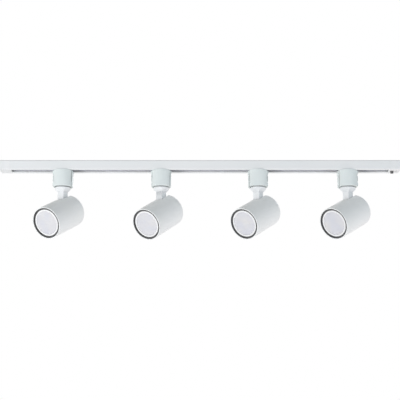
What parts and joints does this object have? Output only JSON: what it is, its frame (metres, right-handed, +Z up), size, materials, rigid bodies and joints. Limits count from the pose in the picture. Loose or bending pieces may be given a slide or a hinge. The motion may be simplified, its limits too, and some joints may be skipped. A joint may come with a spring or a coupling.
{
  "type": "track lighting fixture",
  "caption": "Straight white ceiling track with adjustable cylindrical spotlights that slide, turn and tilt on side-latched adapters and square-necked swivel arms.",
  "frame": {"origin": "middle of the track's top face, which lies against the ceiling", "axes": "+X along the track towards its live end, -Y towards the room, +Z up into the ceiling"},
  "size_m": [0.764, 0.1025, 0.1549],
  "materials": {
    "rail_white": "fine satin powder coat",
    "end_plastic": "satin moulded",
    "strip_plastic": "matt moulded",
    "copper": "drawn",
    "terminal_plastic": "glossy moulded",
    "black_plastic": "matt moulded",
    "adapter_plastic": "satin moulded",
    "carrier_plastic": "matt moulded",
    "contact_brass": "stamped",
    "arm_white": "satin powder coat",
    "steel": "zinc plated",
    "housing_white": "fine satin powder coat",
    "ceramic": "glazed ceramic",
    "lamp_white": "glossy moulded",
    "lens_frost": "frosted"
  },
  "bodies": {
    "track": {"track_rail": "rail_white", "insulator_strips": "strip_plastic", "copper_conductors": "copper", "live_end_feed": "end_plastic", "dead_end_cap": "end_plastic", "terminal_block": "terminal_plastic", "end_cover_plates": "end_plastic", "lock_screw": "black_plastic"},
    "adapter_1": {"adapter_casing_1": "adapter_plastic", "contact_carrier_1": "carrier_plastic", "contact_blades_1": "contact_brass"},
    "latches_1": {"latch_tabs_1": "adapter_plastic"},
    "swivel_1": {"swivel_arm_1": "arm_white", "swivel_nut_1": "steel"},
    "head_1": {"housing_1": "housing_white", "hinge_bracket_1": "steel", "hinge_screw_1": "steel", "lampholder_1": "ceramic", "lamp_body_1": "lamp_white", "lamp_lens_1": "lens_frost", "lamp_retainer_1": "black_plastic"},
    "adapter_2": {"adapter_casing_2": "adapter_plastic", "contact_carrier_2": "carrier_plastic", "contact_blades_2": "contact_brass"},
    "latches_2": {"latch_tabs_2": "adapter_plastic"},
    "swivel_2": {"swivel_arm_2": "arm_white", "swivel_nut_2": "steel"},
    "head_2": {"housing_2": "housing_white", "hinge_bracket_2": "steel", "hinge_screw_2": "steel", "lampholder_2": "ceramic", "lamp_body_2": "lamp_white", "lamp_lens_2": "lens_frost", "lamp_retainer_2": "black_plastic"},
    "adapter_3": {"adapter_casing_3": "adapter_plastic", "contact_carrier_3": "carrier_plastic", "contact_blades_3": "contact_brass"},
    "latches_3": {"latch_tabs_3": "adapter_plastic"},
    "swivel_3": {"swivel_arm_3": "arm_white", "swivel_nut_3": "steel"},
    "head_3": {"housing_3": "housing_white", "hinge_bracket_3": "steel", "hinge_screw_3": "steel", "lampholder_3": "ceramic", "lamp_body_3": "lamp_white", "lamp_lens_3": "lens_frost", "lamp_retainer_3": "black_plastic"},
    "adapter_4": {"adapter_casing_4": "adapter_plastic", "contact_carrier_4": "carrier_plastic", "contact_blades_4": "contact_brass"},
    "latches_4": {"latch_tabs_4": "adapter_plastic"},
    "swivel_4": {"swivel_arm_4": "arm_white", "swivel_nut_4": "steel"},
    "head_4": {"housing_4": "housing_white", "hinge_bracket_4": "steel", "hinge_screw_4": "steel", "lampholder_4": "ceramic", "lamp_body_4": "lamp_white", "lamp_lens_4": "lens_frost", "lamp_retainer_4": "black_plastic"}
  },
  "joints": [
    {"name": "adapter_slide_1", "type": "slide", "parent": "track", "child": "adapter_1", "axis": [1, 0, 0], "range_m": [-0.05, 0.05]},
    {"name": "latch_pull_1", "type": "slide", "parent": "adapter_1", "child": "latches_1", "axis": [0, 0, 1], "range_m": [-0.0035, 0], "stiffness_N_per_m": 500, "springref_m": 0.002},
    {"name": "head_turn_1", "type": "hinge", "parent": "adapter_1", "child": "swivel_1", "pos_m": [-0.2618, 0, -0.0508], "axis": [0, 0, 1], "range_deg": [-134.2, 195.8]},
    {"name": "head_tilt_1", "type": "hinge", "parent": "swivel_1", "child": "head_1", "pos_m": [-0.2618, 0, -0.0802], "axis": [0.859, -0.512, 0], "range_deg": [-26, 64]},
    {"name": "adapter_slide_2", "type": "slide", "parent": "track", "child": "adapter_2", "axis": [1, 0, 0], "range_m": [-0.05, 0.05]},
    {"name": "latch_pull_2", "type": "slide", "parent": "adapter_2", "child": "latches_2", "axis": [0, 0, 1], "range_m": [-0.0035, 0], "stiffness_N_per_m": 500, "springref_m": 0.002},
    {"name": "head_turn_2", "type": "hinge", "parent": "adapter_2", "child": "swivel_2", "pos_m": [-0.0741, 0, -0.0508], "axis": [0, 0, 1], "range_deg": [-129, 201]},
    {"name": "head_tilt_2", "type": "hinge", "parent": "swivel_2", "child": "head_2", "pos_m": [-0.0741, 0, -0.0802], "axis": [0.809, -0.5878, 0], "range_deg": [-28.5, 61.5]},
    {"name": "adapter_slide_3", "type": "slide", "parent": "track", "child": "adapter_3", "axis": [1, 0, 0], "range_m": [-0.05, 0.05]},
    {"name": "latch_pull_3", "type": "slide", "parent": "adapter_3", "child": "latches_3", "axis": [0, 0, 1], "range_m": [-0.0035, 0], "stiffness_N_per_m": 500, "springref_m": 0.002},
    {"name": "head_turn_3", "type": "hinge", "parent": "adapter_3", "child": "swivel_3", "pos_m": [0.1108, 0, -0.0508], "axis": [0, 0, 1], "range_deg": [-125, 205]},
    {"name": "head_tilt_3", "type": "hinge", "parent": "swivel_3", "child": "head_3", "pos_m": [0.1108, 0, -0.0802], "axis": [0.766, -0.6428, 0], "range_deg": [-27, 63]},
    {"name": "adapter_slide_4", "type": "slide", "parent": "track", "child": "adapter_4", "axis": [1, 0, 0], "range_m": [-0.05, 0.05]},
    {"name": "latch_pull_4", "type": "slide", "parent": "adapter_4", "child": "latches_4", "axis": [0, 0, 1], "range_m": [-0.0035, 0], "stiffness_N_per_m": 500, "springref_m": 0.002},
    {"name": "head_turn_4", "type": "hinge", "parent": "adapter_4", "child": "swivel_4", "pos_m": [0.2819, 0, -0.0508], "axis": [0, 0, 1], "range_deg": [-119, 211]},
    {"name": "head_tilt_4", "type": "hinge", "parent": "swivel_4", "child": "head_4", "pos_m": [0.2819, 0, -0.0802], "axis": [0.6947, -0.7193, 0], "range_deg": [-26, 64]}
  ]
}
